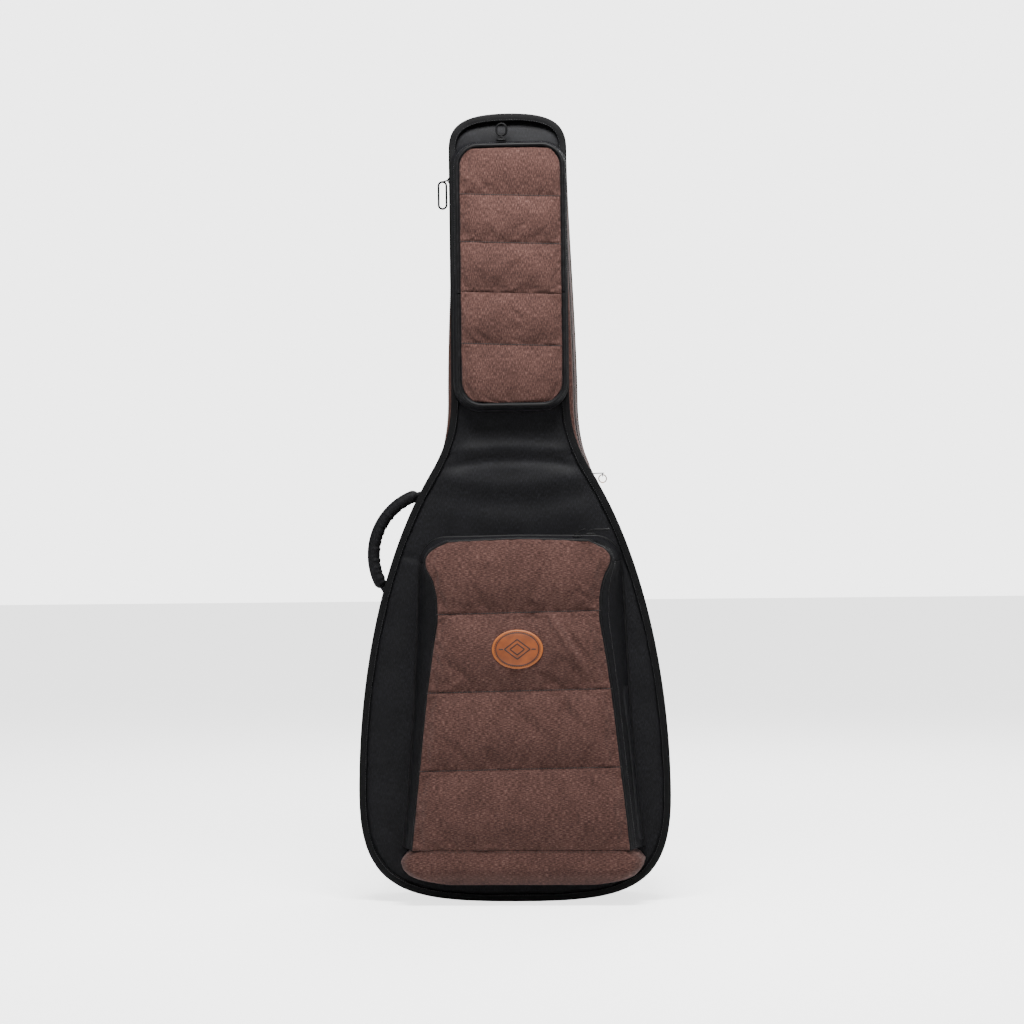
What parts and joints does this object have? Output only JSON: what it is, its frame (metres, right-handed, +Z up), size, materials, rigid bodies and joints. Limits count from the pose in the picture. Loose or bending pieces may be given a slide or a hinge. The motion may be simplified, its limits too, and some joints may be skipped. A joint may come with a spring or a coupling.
{
  "type": "padded gig bag",
  "caption": "Upright padded bag shaped to an acoustic guitar, with a zipped lid, quilted neck and body pockets, side handle, back straps and a rubber base guard.",
  "frame": {"origin": "centre of the base guard's underside, where the bag stands", "axes": "+Z up along the bag, front faces -Y, carry handle on -X"},
  "size_m": [0.44, 0.2525, 1.11],
  "materials": {
    "black_canvas": "matte",
    "heather_fabric": "matte",
    "guard_rubber": "matte",
    "binding_tape": "matte",
    "plush_lining": "matte",
    "webbing": "matte",
    "zip_tape": "matte",
    "spacer_mesh": "matte",
    "pocket_gusset": "matte",
    "black_zinc": "satin",
    "black_cord": "satin",
    "tan_leather": "satin",
    "black_acetal": "satin",
    "bronze_wire": "satin"
  },
  "bodies": {
    "case": {"back_panel": "black_canvas", "base_gusset": "heather_fabric", "left_side_gusset": "heather_fabric", "right_side_gusset": "heather_fabric", "left_neck_gusset": "heather_fabric", "right_neck_gusset": "heather_fabric", "headstock_gusset": "heather_fabric", "base_guard": "guard_rubber", "back_binding": "binding_tape", "back_lining": "plush_lining", "neck_cradle": "plush_lining", "neck_strap": "webbing", "end_block": "plush_lining", "case_zip_track": "zip_tape", "hinge_strip": "binding_tape", "back_pads": "spacer_mesh", "strap_yoke": "spacer_mesh", "left_strap_tails": "webbing", "right_strap_tails": "webbing", "handle_anchors": "webbing", "side_ring_tab": "webbing", "hang_loop_patch": "webbing"},
    "lid": {"lid_base_gusset": "heather_fabric", "lid_left_gusset": "heather_fabric", "lid_right_gusset": "heather_fabric", "lid_headstock_gusset": "heather_fabric", "lid_lining": "plush_lining", "lid_zip_track": "zip_tape", "front_panel": "black_canvas", "front_binding": "binding_tape", "neck_pocket_left_wall": "pocket_gusset", "neck_pocket_right_wall": "pocket_gusset", "neck_pocket_top_wall": "pocket_gusset", "neck_pocket_base_wall": "pocket_gusset", "neck_pocket_panel": "heather_fabric", "neck_pocket_piping": "binding_tape", "body_pocket_left_wall": "pocket_gusset", "body_pocket_right_wall": "pocket_gusset", "body_pocket_top_wall": "pocket_gusset", "body_pocket_base": "heather_fabric"},
    "neck_flap": {"neck_pocket_flap": "heather_fabric", "neck_flap_piping": "binding_tape"},
    "pocket_panel": {"body_pocket_panel": "heather_fabric", "body_pocket_piping": "binding_tape", "leather_patch": "tan_leather"},
    "neck_pocket_slider": {"neck_pocket_slider": "black_zinc"},
    "neck_pocket_pull": {"neck_pocket_pull": "black_cord"},
    "pocket_slider_left": {"body_pocket_slider_left": "black_zinc"},
    "pocket_pull_left": {"body_pocket_pull_left": "black_cord"},
    "pocket_slider_right": {"body_pocket_slider_right": "black_zinc"},
    "pocket_pull_right": {"body_pocket_pull_right": "black_cord"},
    "main_slider": {"main_zip_slider": "black_zinc"},
    "main_pull": {"main_zip_pull": "black_cord"},
    "handle": {"carry_handle": "webbing"},
    "strap_left": {"left_shoulder_strap": "spacer_mesh", "left_strap_buckle": "black_acetal"},
    "strap_right": {"right_shoulder_strap": "spacer_mesh", "right_strap_buckle": "black_acetal"},
    "side_ring": {"side_ring": "bronze_wire"},
    "hang_loop": {"hang_loop": "webbing"}
  },
  "joints": [
    {"name": "lid_hinge", "type": "hinge", "parent": "case", "child": "lid", "pos_m": [-0.213, -0.044, 0.2], "axis": [0, 0, -1], "range_deg": [0, 150]},
    {"name": "neck_flap_fold", "type": "hinge", "parent": "lid", "child": "neck_flap", "pos_m": [0.005, -0.1, 0.855], "axis": [1, 0, 0], "range_deg": [0, 95]},
    {"name": "pocket_panel_fold", "type": "hinge", "parent": "lid", "child": "pocket_panel", "pos_m": [0.012, -0.132, 0.079], "axis": [1, 0, 0], "range_deg": [0, 20]},
    {"name": "neck_pocket_zip", "type": "slide", "parent": "lid", "child": "neck_pocket_slider", "axis": [1, 0, 0], "range_m": [-0.035, 0.05]},
    {"name": "neck_pocket_pull_hinge", "type": "hinge", "parent": "neck_pocket_slider", "child": "neck_pocket_pull", "pos_m": [-0.007, -0.0865, 1.07725], "axis": [1, 0, 0], "range_deg": [0, 130]},
    {"name": "pocket_zip_left", "type": "slide", "parent": "lid", "child": "pocket_slider_left", "axis": [1, 0, 0], "range_m": [-0.165, 0]},
    {"name": "pocket_pull_left_hinge", "type": "hinge", "parent": "pocket_slider_left", "child": "pocket_pull_left", "pos_m": [0.095, -0.1185, 0.5197], "axis": [0, 1, 0], "range_deg": [-140, 0]},
    {"name": "pocket_zip_corner", "type": "hinge", "parent": "lid", "child": "pocket_slider_right", "pos_m": [0.113, -0.1185, 0.481], "axis": [0, 1, 0], "range_deg": [0, 75]},
    {"name": "pocket_pull_right_hinge", "type": "hinge", "parent": "pocket_slider_right", "child": "pocket_pull_right", "pos_m": [0.113, -0.1185, 0.5232], "axis": [0, 1, 0], "range_deg": [-150, 0]},
    {"name": "main_zip", "type": "slide", "parent": "case", "child": "main_slider", "axis": [0.0354, 0, 0.9994], "range_m": [-0.3, 0]},
    {"name": "main_pull_hinge", "type": "hinge", "parent": "main_slider", "child": "main_pull", "pos_m": [-0.0946, -0.044, 1.018], "axis": [0, 1, 0], "range_deg": [0, 150]},
    {"name": "handle_hinge", "type": "hinge", "parent": "case", "child": "handle", "pos_m": [-0.1266, 0.01, 0.578], "axis": [0.3692, 0, 0.9294], "range_deg": [-60, 60]},
    {"name": "strap_left_swing", "type": "hinge", "parent": "case", "child": "strap_left", "pos_m": [-0.06, 0.072, 0.65], "axis": [0.1644, 0, 0.9864], "range_deg": [-28, 28]},
    {"name": "strap_right_swing", "type": "hinge", "parent": "case", "child": "strap_right", "pos_m": [0.06, 0.072, 0.65], "axis": [-0.1644, 0, 0.9864], "range_deg": [-28, 28]},
    {"name": "side_ring_swing", "type": "hinge", "parent": "case", "child": "side_ring", "pos_m": [0.127, -0.02, 0.6005], "axis": [1, 0, 0], "range_deg": [-80, 80]},
    {"name": "hang_loop_swing", "type": "hinge", "parent": "case", "child": "hang_loop", "pos_m": [0, 0.076, 1.078], "axis": [1, 0, 0], "range_deg": [0, 165]}
  ]
}
